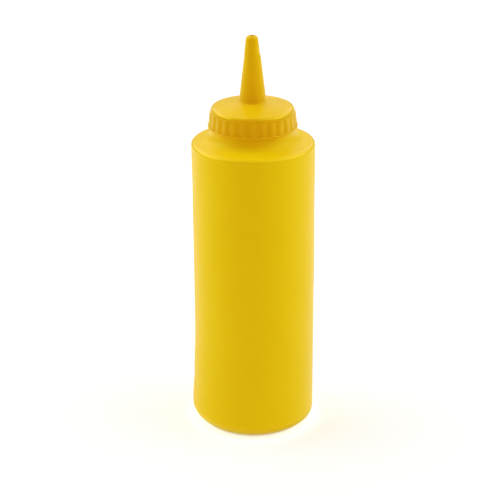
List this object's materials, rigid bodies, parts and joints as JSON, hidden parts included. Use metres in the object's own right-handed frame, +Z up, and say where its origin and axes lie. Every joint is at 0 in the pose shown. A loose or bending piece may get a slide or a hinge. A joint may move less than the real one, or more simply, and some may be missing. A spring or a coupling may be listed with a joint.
{
  "type": "condiment squeeze bottle",
  "caption": "Round soft plastic squeeze bottle with a sloping shoulder, short neck and ribbed screw cap with a long cone nozzle, full and shut, for condiments.",
  "frame": {"origin": "centre of the base, on the surface the bottle stands on", "axes": "+Z up along the bottle's axis towards the nozzle; the bottle is round, and -Y is the side shown in front"},
  "size_m": [0.0572, 0.0572, 0.1892],
  "materials": {
    "bottle_plastic": "satin yellow polyethylene, slightly waxy, blow moulded",
    "cap_plastic": "satin yellow polyethylene, injection moulded"
  },
  "bodies": {
    "root": {"bottle": "bottle_plastic", "cap": "cap_plastic"}
  },
  "joints": []
}
